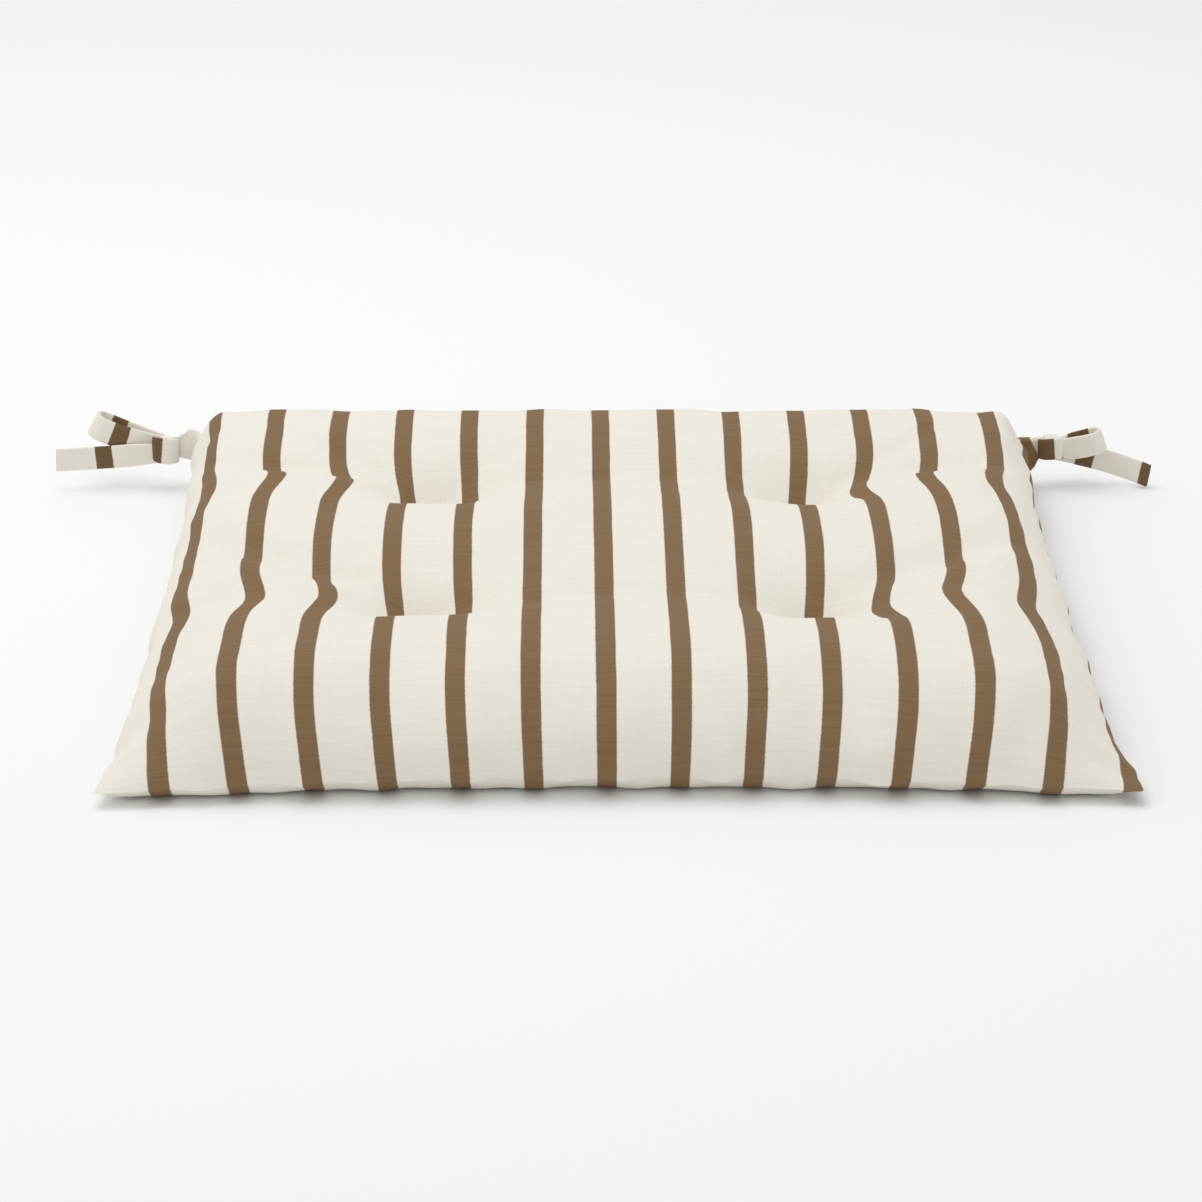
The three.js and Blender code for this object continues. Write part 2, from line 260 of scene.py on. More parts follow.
def new_material(name, roughness):
    material = bpy.data.materials.new(name)
    material.use_nodes = True
    shader = material.node_tree.nodes["Principled BSDF"]
    shader.inputs["Roughness"].default_value = roughness
    shader.inputs["Specular IOR Level"].default_value = CLOTH_SPECULAR
    return material, material.node_tree, shader


def math_node(tree, operation, first, second=None):
    node = tree.nodes.new("ShaderNodeMath")
    node.operation = operation
    for socket, value in zip(node.inputs, (first, second)):
        if isinstance(value, bpy.types.NodeSocket):
            tree.links.new(value, socket)
        elif value is not None:
            socket.default_value = value
    return node.outputs[0]


def noise(tree, vector, scale, detail=2.0, stretch=(1, 1, 1)):
    mapping = tree.nodes.new("ShaderNodeMapping")
    mapping.inputs["Scale"].default_value = stretch
    tree.links.new(vector, mapping.inputs["Vector"])
    node = tree.nodes.new("ShaderNodeTexNoise")
    node.inputs["Scale"].default_value = scale
    node.inputs["Detail"].default_value = detail
    tree.links.new(mapping.outputs[0], node.inputs["Vector"])
    return node.outputs["Fac"]


def mix_colours(tree, factor, first, second, blend="MIX"):
    node = tree.nodes.new("ShaderNodeMix")
    node.data_type = "RGBA"
    node.blend_type = blend
    for socket, value in zip((node.inputs[0], node.inputs[6], node.inputs[7]), (factor, first, second)):
        if isinstance(value, bpy.types.NodeSocket):
            tree.links.new(value, socket)
        else:
            socket.default_value = value
    return node.outputs[2]


def ramp(tree, factor, low, high):
    """0 below low, 1 above high, and straight between them."""
    node = tree.nodes.new("ShaderNodeMapRange")
    node.inputs["From Min"].default_value = low
    node.inputs["From Max"].default_value = high
    tree.links.new(factor, node.inputs["Value"])
    return node.outputs["Result"]


def bump(tree, height, distance, strength, normal=None):
    node = tree.nodes.new("ShaderNodeBump")
    node.inputs["Distance"].default_value = distance
    node.inputs["Strength"].default_value = strength
    tree.links.new(height, node.inputs["Height"])
    if normal is not None:
        tree.links.new(normal, node.inputs["Normal"])
    return node.outputs["Normal"]


def cloth_position(tree):
    """A point's place on the flat cloth, in metres, and that place's first coordinate."""
    node = tree.nodes.new("ShaderNodeAttribute")
    node.attribute_name = "flat_cloth"
    split = tree.nodes.new("ShaderNodeSeparateXYZ")
    tree.links.new(node.outputs["Vector"], split.inputs[0])
    return node.outputs["Vector"], split.outputs[0]


# ---------------------------------------------------------------- materials

def counted_repeats(tree, along, blotches, across_strap):
    """Distance counted in repeats of the stripe. On the cover it is counted from the left seam."""
    wander = math_node(tree, "MULTIPLY", math_node(tree, "SUBTRACT", blotches, 0.5), STRIPE_WANDER)
    counted = math_node(tree, "ADD", math_node(tree, "DIVIDE", along, STRIPE_PITCH), wander)
    if across_strap:
        return counted
    return math_node(tree, "ADD", counted, FLAT_HALF_WIDTH / STRIPE_PITCH + FIRST_STRIPE)


def stripe_mask(tree, counted, weft):
    """1 on a brown stripe and 0 off it, with an edge that follows single threads."""
    nearest = math_node(tree, "ROUND", counted)
    off = math_node(tree, "ABSOLUTE", math_node(tree, "SUBTRACT", counted, nearest))
    fray = math_node(tree, "MULTIPLY", math_node(tree, "SUBTRACT", weft, 0.5), STRIPE_FRAY)
    frayed = math_node(tree, "ADD", off, fray)
    return ramp(tree, frayed, STRIPE_HALF_SHARE + STRIPE_BLUR, STRIPE_HALF_SHARE - STRIPE_BLUR)


def woven_relief(tree, warp, weft, slubs, blotches):
    threads = math_node(tree, "ADD", warp, weft)
    fine = bump(tree, threads, distance=0.0003, strength=0.35)
    uneven = bump(tree, slubs, distance=0.0004, strength=0.2, normal=fine)
    return bump(tree, blotches, distance=0.0012, strength=0.35, normal=uneven)


def striped_cloth(name, across_strap, brown_lightness=1.0):
    """Cream linen-cotton with woven brown stripes, which run across the strap on a tie."""
    material, tree, shader = new_material(name, CLOTH_ROUGHNESS)
    vector, along = cloth_position(tree)
    warp = noise(tree, vector, scale=1.0, stretch=(1500, 70, 1))
    weft = noise(tree, vector, scale=1.0, stretch=(70, 1500, 1))
    slubs = noise(tree, vector, scale=1.0, detail=3.0, stretch=(40, 700, 1))
    blotches = noise(tree, vector, scale=38, detail=3.0)
    stripe = stripe_mask(tree, counted_repeats(tree, along, blotches, across_strap), weft)
    cream = mix_colours(tree, ramp(tree, slubs, 0.35, 0.7), (*CREAM_LOW, 1), (*CREAM_HIGH, 1))
    # brown_lightness scales the brown. Above 1, as on the corner cloth, it paints light onto the brown.
    low = [brown_lightness * part for part in BROWN_LOW] + [1]
    high = [brown_lightness * part for part in BROWN_HIGH] + [1]
    brown = mix_colours(tree, ramp(tree, slubs, 0.3, 0.75), low, high)
    colour = mix_colours(tree, stripe, cream, brown)
    shade = mix_colours(tree, ramp(tree, warp, 0.25, 0.75), (0.955, 0.955, 0.955, 1), (1, 1, 1, 1))
    colour = mix_colours(tree, 1.0, colour, shade, blend="MULTIPLY")
    tree.links.new(colour, shader.inputs["Base Color"])
    tree.links.new(woven_relief(tree, warp, weft, slubs, blotches), shader.inputs["Normal"])
    shader.inputs["Sheen Weight"].default_value = CLOTH_SHEEN
    shader.inputs["Sheen Roughness"].default_value = 0.6
    return material


def thread_material():
    """Twisted cream sewing thread: fine slanted ridges."""
    material, tree, shader = new_material("sewing_thread", roughness=0.7)
    place = tree.nodes.new("ShaderNodeTexCoord")
    wave = tree.nodes.new("ShaderNodeTexWave")
    wave.bands_direction = "DIAGONAL"
    wave.inputs["Scale"].default_value = 900
    wave.inputs["Distortion"].default_value = 1.0
    tree.links.new(place.outputs["Object"], wave.inputs["Vector"])
    colour = mix_colours(tree, wave.outputs["Fac"], (0.52, 0.47, 0.38, 1), (0.74, 0.70, 0.61, 1))
    tree.links.new(colour, shader.inputs["Base Color"])
    ridges = bump(tree, wave.outputs["Fac"], distance=0.0002, strength=0.5)
    tree.links.new(ridges, shader.inputs["Normal"])
    return material


def fibre_material():
    """Loose white polyester fibre: tangled fine strands over soft lumps."""
    material, tree, shader = new_material("fibre_filling", roughness=0.98)
    place = tree.nodes.new("ShaderNodeTexCoord").outputs["Object"]
    strands = noise(tree, place, scale=1.0, detail=6.0, stretch=(500, 900, 700))
    lumps = noise(tree, place, scale=45, detail=3.0)
    colour = mix_colours(tree, strands, (0.70, 0.70, 0.68, 1), (0.93, 0.93, 0.91, 1))
    tree.links.new(colour, shader.inputs["Base Color"])
    fine = bump(tree, strands, distance=0.001, strength=0.8)
    tree.links.new(bump(tree, lumps, distance=0.004, strength=0.6, normal=fine), shader.inputs["Normal"])
    return material


def floor_material():
    material, _, shader = new_material("pale_floor", roughness=0.85)
    shader.inputs["Base Color"].default_value = (0.93, 0.93, 0.93, 1)
    return material


# ---------------------------------------------------------------- the cover's shape

# The cover's points with their place on the flat cloth, its faces, and each panel's grid of point numbers.
Cover = namedtuple("Cover", "points flat faces top underside u v")


def rising_profile(first_angle, power):
    """Cloth that leaves the seam at first_angle and levels out.

    Gives shares of its length, the share of the rise reached at each, and the rise per length.
    """
    share = np.linspace(0, 1, 201)
    slope = np.sin(first_angle * (1 - share) ** power)
    rise = np.concatenate([[0], np.cumsum((slope[1:] + slope[:-1]) / 2 * share[1])])
    return share, rise / rise[-1], rise[-1]


def rise_share(profile, distance, height):
    """How far up the cloth is at a distance along it, as a share of the height that it climbs."""
    share, rise, total = profile
    length = np.maximum(height, 1e-4) / total
    return np.interp(np.clip(distance / length, 0, 1), share, rise)


def panel_grid():
    line = np.linspace(-1, 1, GRID)
    return np.meshgrid(line, line, indexing="ij")


def half_width(v):
    straight = FRONT_HALF_WIDTH + (BACK_HALF_WIDTH - FRONT_HALF_WIDTH) * (v + 1) / 2
    return straight - SIDE_WAIST * (1 - np.abs(v) ** WAIST_POWER)


def reach(u, v):
    straight = FRONT_REACH + (BACK_REACH - FRONT_REACH) * (v + 1) / 2
    return straight - END_WAIST * (1 - np.abs(u) ** WAIST_POWER)


def front_gather(u, v):
    """How far the front seam draws its cloth towards the middle."""
    near_front = np.exp(-(((v + 1) / FRONT_GATHER_REACH) ** 2))
    return -FRONT_GATHER * u * (1 - np.abs(u) ** FRONT_GATHER_POWER) * near_front


def seam_height(v):
    climb = ((v + 1) / 2) ** SEAM_RISE_POWER
    return FRONT_SEAM_HEIGHT + (BACK_SEAM_HEIGHT - FRONT_SEAM_HEIGHT) * climb


def tuft_distance(u, v, stretch):
    """Distance on the cloth to the nearest tuft, counted shorter across the pad by the stretch."""
    nearest = np.full(np.shape(u), 1.0)
    for tuft_u, tuft_v in TUFTS.values():
        across = (u - tuft_u) * FLAT_HALF_WIDTH / stretch
        along = (v - tuft_v) * FLAT_HALF_DEPTH
        nearest = np.minimum(nearest, np.hypot(across, along))
    return nearest


def dip(u, v):
    """How far the top lies below its crest: deep at the tufts, with a shallow groove through each row."""
    profile = rising_profile(DIP_ANGLE, DIP_POWER)
    tuft = TUFT_DEPTH * (1 - rise_share(profile, tuft_distance(u, v, TUFT_STRETCH), TUFT_DEPTH))
    inner = np.clip(np.abs(u) / TUFT_RIGHT, 0, 1)
    outer = np.clip((np.abs(u) - TUFT_RIGHT) / (1 - TUFT_RIGHT), 0, 1)
    depth = GROOVE_MIDDLE_DEPTH + (GROOVE_DEPTH - GROOVE_MIDDLE_DEPTH) * inner**2
    total = tuft**DIP_BLEND
    for row_v, bend, power in ROWS:
        off_row = np.abs(v - row_v - bend * outer**power) * FLAT_HALF_DEPTH
        groove = depth * (1 + np.cos(np.pi * np.clip(off_row / GROOVE_REACH, 0, 1))) / 2
        total = total + groove**DIP_BLEND
    return total ** (1 / DIP_BLEND)


def edge_rise(distance, climb, boxiness):
    """The flank's rise share, between a soft edge and an upright, square one."""
    soft = rise_share(rising_profile(EDGE_ANGLE, EDGE_POWER), distance, climb)
    boxy = rise_share(rising_profile(BOXY_ANGLE, BOXY_POWER), distance, climb)
    return soft + (boxy - soft) * boxiness


def top_height(u, v, dipped=True):
    seam = seam_height(v)
    towards_back = (v + 1) / 2
    crest = FRONT_CREST_HEIGHT + (BACK_CREST_HEIGHT - FRONT_CREST_HEIGHT) * towards_back
    climb = crest - CROWN_DROP * np.abs(u) ** CROWN_POWER - seam
    if dipped:
        climb = climb - dip(u, v)
    boxiness = np.clip((v - BOXY_FROM) / BOXY_SPAN, 0, 1)
    side = edge_rise((1 - np.abs(u)) * FLAT_HALF_WIDTH, climb, boxiness)
    end = edge_rise((1 - np.abs(v)) * FLAT_HALF_DEPTH, climb, boxiness)
    return seam + climb * side * end


def along_cloth(height, step):
    """Plan distance from the middle for cloth of fixed length that follows these heights, along axis 0."""
    climb = np.diff(height, axis=0)
    level = np.sqrt(np.maximum(step**2 - climb**2, (STEEPEST_SHARE * step) ** 2))
    distance = np.concatenate([np.zeros((1, GRID)), np.cumsum(level, axis=0)])
    return distance - distance[GRID // 2]


def plan(height):
    """Plan positions, across and along, of cloth with these heights."""
    step = 2 / (GRID - 1)
    x = along_cloth(height, step * FLAT_HALF_WIDTH)
    y = along_cloth(height.T, step * FLAT_HALF_DEPTH).T
    return x, y


def blurred(values, spread):
    """Smooths along axis 1, with the spread in grid steps."""
    reach_steps = int(3 * spread)
    weight = np.exp(-0.5 * (np.arange(-reach_steps, reach_steps + 1) / spread) ** 2)
    padded = np.pad(values, ((0, 0), (reach_steps, reach_steps)), mode="edge")
    return np.array([np.convolve(line, weight / weight.sum(), mode="valid") for line in padded])


def top_surface(u, v):
    """The tufts draw the cloth towards them, but part of its spare length gathers into small creases."""
    height = top_height(u, v)
    smooth_x, smooth_y = plan(top_height(u, v, dipped=False))
    drawn_x, drawn_y = plan(height)
    spread = GATHER_BLUR / (2 * FLAT_HALF_DEPTH / (GRID - 1))
    x = smooth_x + GATHER_SHARE * blurred(drawn_x - smooth_x, spread)
    y = smooth_y + GATHER_SHARE * blurred((drawn_y - smooth_y).T, spread).T
    side = np.sign(u) * half_width(v)
    end = np.sign(v) * reach(u, v)
    edge_x = np.where(u > 0, x[-1], x[0])
    edge_y = np.where(v > 0, y[:, -1:], y[:, :1])
    x = x + (side - edge_x) * np.abs(u) ** SIDE_FIT_POWER + front_gather(u, v)
    y = y + (end - edge_y) * np.abs(v) ** END_FIT_POWER
    return np.stack([x, y, height], -1)


def underside_surface(u, v):
    seam = seam_height(v)
    profile = rising_profile(UNDERSIDE_ANGLE, UNDERSIDE_POWER)
    side = rise_share(profile, (1 - np.abs(u)) * half_width(v), seam)
    end = rise_share(profile, (1 - np.abs(v)) * reach(u, v), seam)
    away = np.clip(tuft_distance(u, v, 1) / UNDERSIDE_TUFT_REACH, 0, 1)
    height = seam * (1 - side * end) + UNDERSIDE_TUFT_DEPTH * (1 + np.cos(np.pi * away)) / 2
    return np.stack([u * half_width(v) + front_gather(u, v), v * reach(u, v), height], -1)


def grid_faces(index):
    corners = [index[:-1, :-1], index[1:, :-1], index[1:, 1:], index[:-1, 1:]]
    return np.stack(corners, -1).reshape(-1, 4)


def panel_indices(size):
    """Point numbers of two grids that share the points on their edge, and a mask of the other points."""
    top = np.arange(size * size).reshape(size, size)
    inner = np.zeros((size, size), bool)
    inner[1:-1, 1:-1] = True
    underside = top.copy()
    underside[inner] = size * size + np.arange(inner.sum())
    return top, underside, inner


def flat_cloth(u, v):
    return np.stack([u * FLAT_HALF_WIDTH, v * FLAT_HALF_DEPTH, 0 * u], -1)


def make_mesh_object(name, points, faces, flat=None):
    mesh = bpy.data.meshes.new(name)
    point_list = [list(map(float, point)) for point in points]
    face_list = [list(map(int, face)) for face in faces]
    mesh.from_pydata(point_list, [], face_list)
    mesh.update()
    if flat is not None:
        attribute = mesh.attributes.new("flat_cloth", "FLOAT_VECTOR", "POINT")
        attribute.data.foreach_set("vector", np.asarray(flat, np.float32).ravel())
    mesh.polygons.foreach_set("use_smooth", np.ones(len(mesh.polygons), bool))
    piece = bpy.data.objects.new(name, mesh)
    bpy.context.scene.collection.objects.link(piece)
    return piece


def point_normals(points, faces):
    shape = make_mesh_object("normals_only", points, faces)
    normals = np.zeros(len(points) * 3, np.float32)
    shape.data.vertices.foreach_get("normal", normals)
    bpy.data.objects.remove(shape)
    return normals.reshape(-1, 3).astype(float)


def evaluated_points(piece):
    mesh = piece.evaluated_get(bpy.context.evaluated_depsgraph_get()).data
    points = np.zeros(len(mesh.vertices) * 3, np.float32)
    mesh.vertices.foreach_get("co", points)
    return points.reshape(-1, 3).astype(float)


def enclosed_volume(points, faces):
    triangles = np.concatenate([faces[:, [0, 1, 2]], faces[:, [0, 2, 3]]])
    a, b, c = (points[triangles[:, k]] for k in range(3))
    return np.einsum("ij,ij->i", a, np.cross(b, c)).sum() / 6


def hold_points(cloth, cover):
    """Fixed: tufts, corners and the part that rests on the seat. The rest is drawn softly to its start."""
    group = cloth.vertex_groups.new(name="held")
    group.add(range(len(cloth.data.vertices)), SOFT_HOLD, "REPLACE")
    top, underside = cover.top, cover.underside
    near_tuft = tuft_distance(cover.u, cover.v, 1) < HELD_TUFT_RADIUS
    resting = np.maximum(np.abs(cover.u), np.abs(cover.v)) < RESTING_SHARE
    fixed = [*top[near_tuft], *underside[near_tuft], *underside[resting]]
    fixed += [top[0, 0], top[-1, 0], top[0, -1], top[-1, -1]]
    group.add([int(number) for number in fixed], 1.0, "REPLACE")


def add_cloth_modifier(cloth, pattern, volume):
    modifier = cloth.modifiers.new("settle", "CLOTH")
    settings = modifier.settings
    settings.quality = 5
    settings.mass = 0.05
    settings.tension_stiffness = 40
    settings.compression_stiffness = 40
    settings.shear_stiffness = 10
    settings.bending_stiffness = 0.3
    settings.air_damping = 2
    settings.vertex_group_mass = "held"
    settings.pin_stiffness = 1
    settings.rest_shape_key = pattern
    settings.use_pressure = True
    settings.uniform_pressure_force = 1
    settings.use_pressure_volume = True
    settings.target_volume = volume
    settings.pressure_factor = 5
    settings.effector_weights.gravity = 0
    modifier.collision_settings.use_collision = False
    modifier.collision_settings.use_self_collision = False
    modifier.point_cache.frame_end = FRAMES


def settled_points(cover):
    """Cloth simulation: two flat panels sewn at their edges, swollen by the filling inside them."""
    cloth = make_mesh_object("cover_simulation", cover.points, cover.faces)
    cloth.shape_key_add(name="Basis")
    pattern = cloth.shape_key_add(name="flat_pattern")
    pattern.data.foreach_set("co", cover.flat.astype(np.float32).ravel())
    pattern.value = 0
    hold_points(cloth, cover)
    add_cloth_modifier(cloth, pattern, enclosed_volume(cover.points, cover.faces) * FULLNESS)
    for number in range(1, FRAMES + 1):
        bpy.context.scene.frame_set(number)
    settled = evaluated_points(cloth)
    bpy.context.scene.frame_set(1)
    bpy.data.objects.remove(cloth)
    return settled


def capped(start, settled):
    """The settled points, none further than the cap from its start, and none below the seat."""
    move = settled - start
    length = np.linalg.norm(move, axis=1, keepdims=True)
    eased = MOVE_CAP * np.tanh(length / MOVE_CAP)
    points = start + move * eased / np.maximum(length, 1e-9)
    points[:, 2] = np.maximum(points[:, 2], 0)
    return points


def starting_cover():
    """Both panels as they are before the simulation."""
    u, v = panel_grid()
    top, underside, inner = panel_indices(GRID)
    flat = flat_cloth(u, v)
    points = np.concatenate([top_surface(u, v).reshape(-1, 3), underside_surface(u, v)[inner]])
    flat_points = np.concatenate([flat.reshape(-1, 3), flat[inner]])
    faces = np.concatenate([grid_faces(top), grid_faces(underside)[:, ::-1]])
    return Cover(points, flat_points, faces, top, underside, u, v)


def finished_cover():
    cover = starting_cover()
    cover = cover._replace(points=capped(cover.points, settled_points(cover)))
    folded = with_folds(cover)
    folded[:, 2] = np.maximum(folded[:, 2], 0)
    return cover._replace(points=turned_in(folded, cover.top))


def waves(position, lengths, phases):
    """Irregular waves along a line, between about -1 and 1."""
    total = sum(np.cos(2 * np.pi * position / length + phase) for length, phase in zip(lengths, phases))
    return total / len(lengths)


def seam_puckers(x, y, chance):
    """Puckers that fade away from each half of the seam: front, back, left and right."""
    from_side = FLAT_HALF_WIDTH - np.abs(x)
    from_end = FLAT_HALF_DEPTH - np.abs(y)
    edges = (
        (x, from_end, y < 0, 1),
        (x, from_end, y >= 0, 1),
        (y, from_side, x < 0, SIDE_FOLD_SHARE),
        (y, from_side, x >= 0, SIDE_FOLD_SHARE),
    )
    height = np.zeros(np.shape(x))
    for along, away, here, share in edges:
        puckers = waves(along, SEAM_FOLD_LENGTHS, chance.uniform(0, PHASE_LIMIT, len(SEAM_FOLD_LENGTHS)))
        fold = share * SEAM_FOLD_HEIGHT * puckers * np.exp(-((away / SEAM_FOLD_REACH) ** SEAM_FOLD_POWER))
        height += np.where(here, fold, 0)
    return height


def tuft_creases(x, y, chance):
    """Short creases that run out from each tuft like spokes."""
    height = np.zeros(np.shape(x))
    for tuft_u, tuft_v in TUFTS.values():
        across, along = x - tuft_u * FLAT_HALF_WIDTH, y - tuft_v * FLAT_HALF_DEPTH
        away = np.hypot(across, along) / TUFT_FOLD_REACH
        spokes = np.cos(TUFT_FOLDS * np.arctan2(along, across) + chance.uniform(0, PHASE_LIMIT))
        height += TUFT_FOLD_HEIGHT * spokes * away * np.exp(1 - away)
    return height


def filling_lumps(x, y, chance):
    """Long, low waves in every direction, where the fibre is fuller."""
    height = np.zeros(np.shape(x))
    for _ in range(LUMP_WAVES):
        heading, phase = chance.uniform(0, PHASE_LIMIT, 2)
        length = chance.uniform(*LUMP_LENGTHS)
        travelled = x * math.cos(heading) + y * math.sin(heading)
        height += LUMP_HEIGHT / LUMP_WAVES**0.5 * np.cos(2 * np.pi * travelled / length + phase)
    return height


def fold_heights(u, v, chance):
    """How far small folds and lumps stand proud."""
    x, y = u * FLAT_HALF_WIDTH, v * FLAT_HALF_DEPTH
    puckers = seam_puckers(x, y, chance)
    creases = tuft_creases(x, y, chance)
    return puckers + creases + filling_lumps(x, y, chance)


def with_folds(cover):
    """Pushes the cover in and out by its small folds. The seam itself wavers a little up and down."""
    chance = np.random.default_rng(SEED)
    points, u, v = cover.points, cover.u, cover.v
    push = np.zeros(len(points))
    push[cover.underside] = UNDERSIDE_FOLD_SHARE * fold_heights(u, v, chance)
    push[points[:, 2] < LYING_HEIGHT] = 0
    push[cover.top] = fold_heights(u, v, chance)
    from_corner = np.minimum(1 - np.abs(u), 1 - np.abs(v)) + np.abs(np.abs(u) - np.abs(v))
    push[cover.top] *= np.clip(from_corner / CORNER_CALM, 0, 1)
    return points + point_normals(points, cover.faces) * push[:, None]


def cover_panel(name, node, cover, index, flipped, material):
    used, renumbered = np.unique(grid_faces(index), return_inverse=True)
    faces = renumbered.reshape(-1, 4)
    faces = faces[:, ::-1] if flipped else faces
    panel = make_mesh_object(name, cover.points[used], faces, cover.flat[used])
    panel.data.materials.append(material)
    smooth = panel.modifiers.new("smooth", "SUBSURF")
    smooth.levels = smooth.render_levels = 1
    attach(panel, "pad")
    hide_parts(node)


def turned_in(points, top):
    """Draws the seam in a little between the two panels, as a turned edge does."""
    edge = np.unique(np.concatenate([top[0], top[-1], top[:, 0], top[:, -1]]))
    level = points[edge] * np.array([1, 1, 0])
    points = points.copy()
    points[edge] -= SEAM_TUCK * level / np.linalg.norm(level, axis=1, keepdims=True)
    return points


def build_filling(cover):
    """The fibre mass: the cover's shape drawn in from the seam and from both panels."""
    upper, lower = cover.points[cover.top[1:-1, 1:-1]], cover.points[cover.underside[1:-1, 1:-1]]
    top, underside, inner = panel_indices(GRID - 2)
    upper_with_rim = np.where(inner[..., None], upper, (upper + lower) / 2)
    body = np.concatenate([upper_with_rim.reshape(-1, 3), lower[inner]])
    faces = np.concatenate([grid_faces(top), grid_faces(underside)[:, ::-1]])
    body = body - FILLING_GAP * point_normals(body, faces)
    filling = make_mesh_object("fibre_mass", body, faces)
    filling.data.materials.append(fibre_material())
    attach(filling, "pad")
    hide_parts("fibre_filling")


def build_cover():
    cloth = striped_cloth("striped_cover", across_strap=False)
    cover = finished_cover()
    cover_panel("cover_top", "top_panel", cover, cover.top, False, cloth)
    cover_panel("cover_underside", "bottom_panel", cover, cover.underside, True, cloth)
    build_filling(cover)
    return cover


# ---------------------------------------------------------------- threads

def lengths_along(path):
    return np.concatenate([[0], np.cumsum(np.linalg.norm(np.diff(path, axis=0), axis=1))])


def tube(path, radius, sides=8):
    """Points and faces of a closed round tube along a path."""
    path = np.asarray(path, float)
    tangent = np.gradient(path, axis=0)
    tangent /= np.linalg.norm(tangent, axis=1, keepdims=True)
    starts_level = abs(tangent[0, 2]) < 0.8
    helper = np.array([0.31, 0.17, 0.93] if starts_level else [0.95, 0.21, 0.1])
    first = np.cross(tangent, helper)
    first /= np.linalg.norm(first, axis=1, keepdims=True)
    second = np.cross(tangent, first)
    angle = np.linspace(0, 2 * np.pi, sides, endpoint=False)
    cosine, sine = np.cos(angle)[None, :, None], np.sin(angle)[None, :, None]
    ring = first[:, None] * cosine + second[:, None] * sine
    points = (path[:, None] + radius * ring).reshape(-1, 3)
    return points, tube_faces(len(path), sides)


def tube_faces(rings, sides):
    faces = []
    for ring in range(rings - 1):
        for side in range(sides):
            after = (side + 1) % sides
            low, high = ring * sides, (ring + 1) * sides
            faces.append([low + side, high + side, high + after, low + after])
    faces.append(list(range(sides)))
    faces.append([(rings - 1) * sides + side for side in reversed(range(sides))])
    return faces


def joined(parts):
    """Several point and face lists as one."""
    points, faces, count = [], [], 0
    for part_points, part_faces in parts:
        points.extend(np.asarray(part_points).tolist())
        faces.extend([[index + count for index in face] for face in part_faces])
        count += len(part_points)
    return points, faces


def thread_piece(name, node, parts, material):
    points, faces = joined(parts)
    piece = make_mesh_object(name, points, faces)
    piece.data.materials.append(material)
    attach(piece, "pad")
    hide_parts(node)


def tuft_parts(above, below, radius):
    """Two legs of thread through the pad, short stitches at each end, and a small knot below."""
    parts = []
    half = TUFT_STITCH / 2
    for side in (-1, 1):
        leg = [[above[0] + side * half, above[1], z] for z in np.linspace(below[2], above[2], 6)]
        parts.append(tube(leg, radius))
    share = np.linspace(-1, 1, 9)
    bow = 1 - share**2
    for shift in (-1, 0, 1):
        beside = shift * (radius * 1.6 * bow + radius / 2)
        arch = np.stack([share * half, beside, radius * 1.4 * bow], -1)
        parts.append(tube(above + arch, radius))
        parts.append(tube(below + arch * np.array([1, 1, -0.6]), radius))
    turn = np.linspace(0, 2 * np.pi * TUFT_KNOT_TURNS, 22)
    across, along = TUFT_KNOT_RADIUS * np.cos(turn), TUFT_KNOT_RADIUS * np.sin(turn)
    knot = np.stack([across, along, -radius * (1 + turn / 5)], -1)
    parts.append(tube(below + knot, radius))
    return parts


def build_tuft_threads(cover, material):
    for name, (tuft_u, tuft_v) in TUFTS.items():
        away = np.hypot(cover.u - tuft_u, cover.v - tuft_v)
        nearest = np.unravel_index(np.argmin(away), away.shape)
        above = cover.points[cover.top[nearest]] + [0, 0, TUFT_THREAD_RADIUS]
        below = cover.points[cover.underside[nearest]] - [0, 0, TUFT_THREAD_RADIUS]
        parts = tuft_parts(above, below, TUFT_THREAD_RADIUS)
        thread_piece(f"tuft_stitch_{name}", f"tuft_thread_{name}", parts, material)


def seam_line(cover):
    """The seam's points in order, counter-clockwise from the front left corner and back to it."""
    top = cover.top
    sides = [top[:-1, 0], top[-1, :-1], top[:0:-1, -1], top[0, :0:-1], top[0, :1]]
    return cover.points[np.concatenate(sides)]


def seam_place(line, distance, inset):
    """The place at a distance along the seam, drawn in from it by the inset."""
    length = lengths_along(line)
    place = np.array([np.interp(distance % length[-1], length, line[:, axis]) for axis in range(3)])
    level = place * np.array([1, 1, 0])
    return place - inset * level / np.linalg.norm(level)


def seam_thread(path):
    return tube(path, SEAM_THREAD_RADIUS, SEAM_THREAD_SIDES)


def sewn_stitches(line, start, length):
    """One thread that rises and falls through the seam, stitch by stitch."""
    steps = np.arange(0, length, STITCH_LENGTH / 4)
    path = [seam_place(line, start + step, SEAM_THREAD_INSET) for step in steps]
    for number, place in enumerate(path):
        place[2] += SEAM_THREAD_RADIUS * math.sin(number * math.pi / 2)
    return [seam_thread(path)]


def closing_stitches(line, start):
    """Slanted hand stitches over the closed gap, and the thread that runs behind them."""
    share = np.linspace(-1, 1, 7)
    slant, bow, half_height = CLOSING_BAR
    bar = np.stack([share * slant, bow * (1 - share**2), share * half_height], -1)
    parts = []
    for number in range(int(CLOSING_LENGTH / CLOSING_STITCH)):
        place = seam_place(line, start + (number + 0.5) * CLOSING_STITCH, -CLOSING_PROUD)
        parts.append(seam_thread(place + bar))
    steps = np.linspace(0, CLOSING_LENGTH, 60)
    parts.append(seam_thread([seam_place(line, start + step, CLOSING_INSET) for step in steps]))
    return parts


